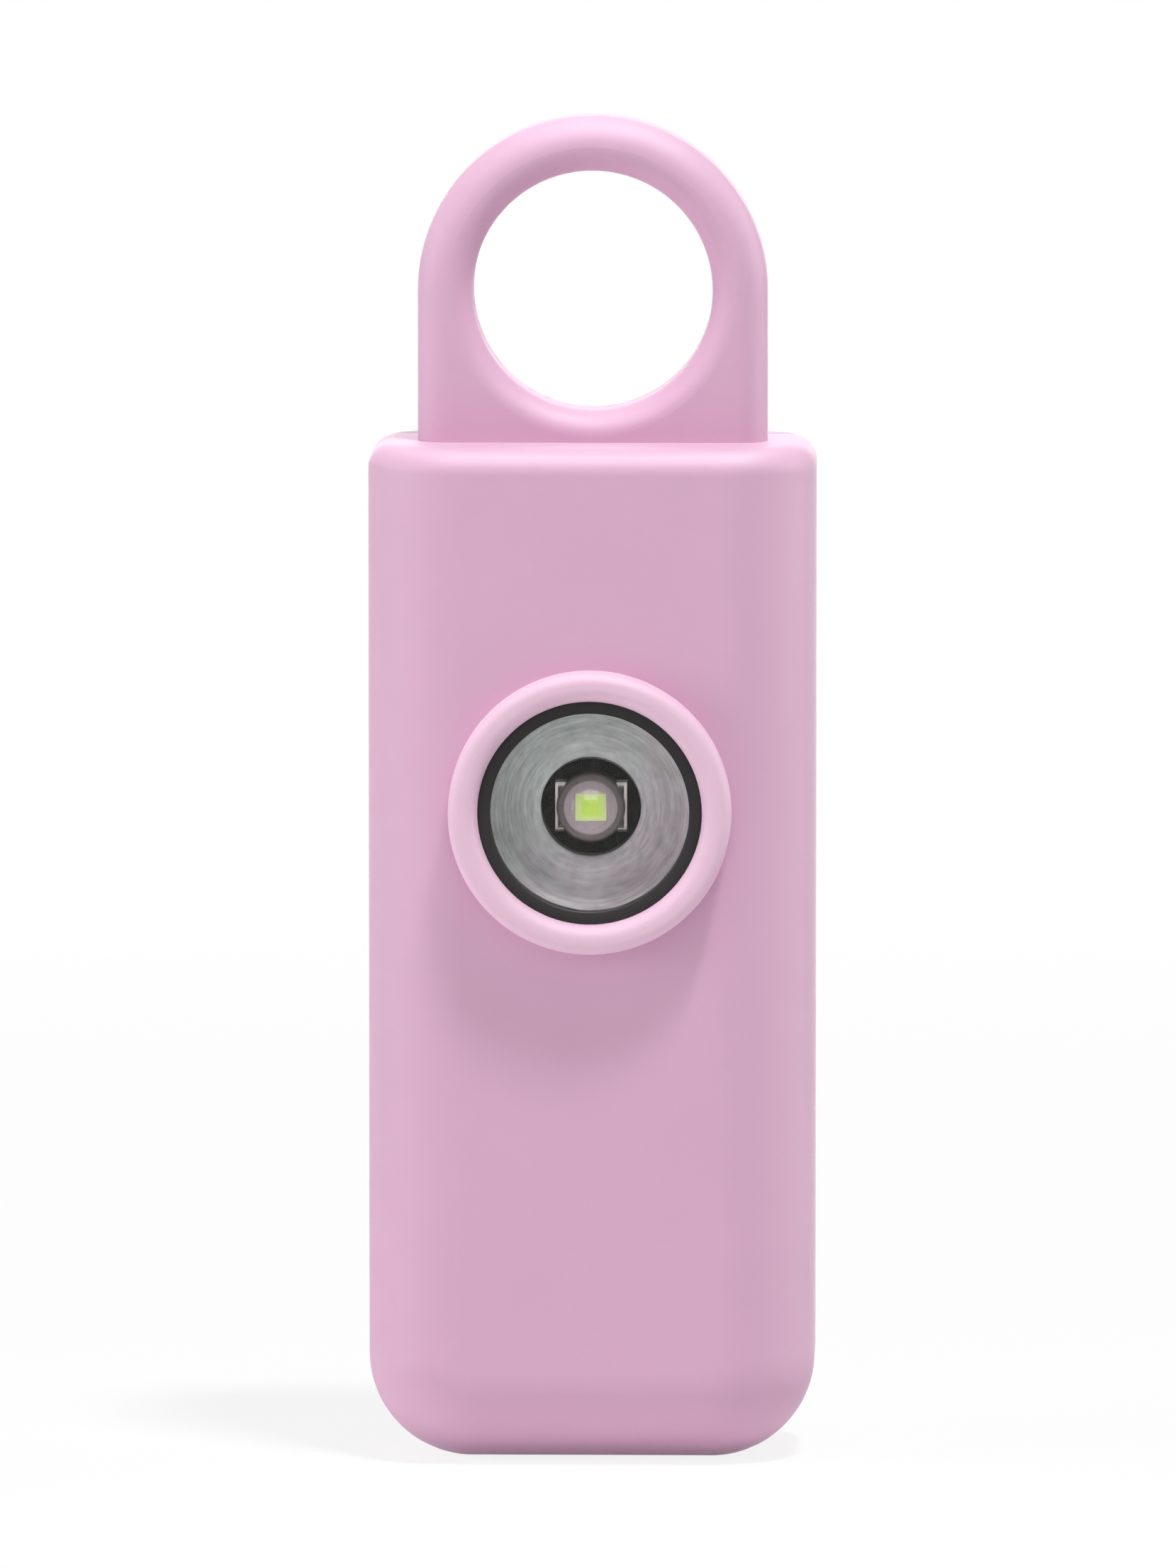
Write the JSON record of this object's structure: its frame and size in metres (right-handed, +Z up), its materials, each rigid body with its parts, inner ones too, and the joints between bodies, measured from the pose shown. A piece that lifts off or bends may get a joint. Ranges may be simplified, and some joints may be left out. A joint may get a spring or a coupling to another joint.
{
  "type": "personal safety alarm",
  "caption": "Hand-held personal alarm: a rounded pink case with a round front light, a siren grille on the back and a pull-out pin with a finger loop that sets it off.",
  "frame": {"origin": "centre of the flat base", "axes": "+Z up along the case towards the loop, -Y out of the front with the light, +X to the right seen from the front"},
  "size_m": [0.033, 0.0225, 0.0993],
  "materials": {
    "pink_plastic": "satin moulded plastic",
    "ring_plastic": "lighter satin moulded plastic",
    "black_rubber": "matt rubber",
    "clear_plastic": "clear, polished",
    "spun_silver": "spun, metallised",
    "black_plastic": "matt",
    "board": "black solder mask",
    "steel": "nickel plated",
    "solder": "tinned",
    "phosphor": "powdery",
    "white_plastic": "smooth",
    "ferrite": "sintered",
    "copper": "enamelled",
    "can": "drawn",
    "brass": "rolled",
    "ceramic": "silvered ceramic",
    "foam": "closed cell foam",
    "insulation": "soft insulation"
  },
  "bodies": {
    "case": {"front_shell": "pink_plastic", "rear_shell": "pink_plastic", "light_ring": "ring_plastic", "window_gasket": "black_rubber", "siren_seal": "black_rubber", "window": "clear_plastic", "lamp_dome": "clear_plastic", "reflector": "spun_silver", "lamp_base": "black_plastic", "switch_body": "black_plastic", "control_chip": "black_plastic", "driver_transistor": "black_plastic", "siren_retainer": "black_plastic", "circuit_board": "board", "shell_screws": "steel", "board_screws": "steel", "retaining_springs": "steel", "battery_spring": "steel", "negative_contact": "steel", "positive_contact": "steel", "cell_left": "steel", "cell_middle": "steel", "cell_right": "steel", "lamp_pads": "solder", "switch_legs": "solder", "chip_legs": "solder", "lamp_die": "phosphor", "coil_core": "ferrite", "coil_winding": "copper", "capacitor": "can", "sound_plate": "brass", "ceramic_disc": "ceramic", "siren_leads": "insulation", "battery_leads": "insulation"},
    "pull_pin": {"pull_pin": "pink_plastic"},
    "switch_plunger": {"switch_plunger": "white_plastic"},
    "battery_door": {"battery_door": "pink_plastic", "door_pad": "foam", "door_screws": "steel"}
  },
  "joints": [
    {"name": "pull_pin_slide", "type": "slide", "parent": "case", "child": "pull_pin", "axis": [0, 0, 1], "range_m": [0, 0.024]},
    {"name": "switch_plunger_slide", "type": "slide", "parent": "case", "child": "switch_plunger", "axis": [0, 0, 1], "range_m": [0, 0.0012]},
    {"name": "battery_door_lift", "type": "slide", "parent": "case", "child": "battery_door", "axis": [0, 1, 0], "range_m": [0, 0.015]}
  ],
  "couplings": [
    {"joint": "switch_plunger_slide", "follows": "pull_pin_slide", "ratio": 0.05}
  ]
}
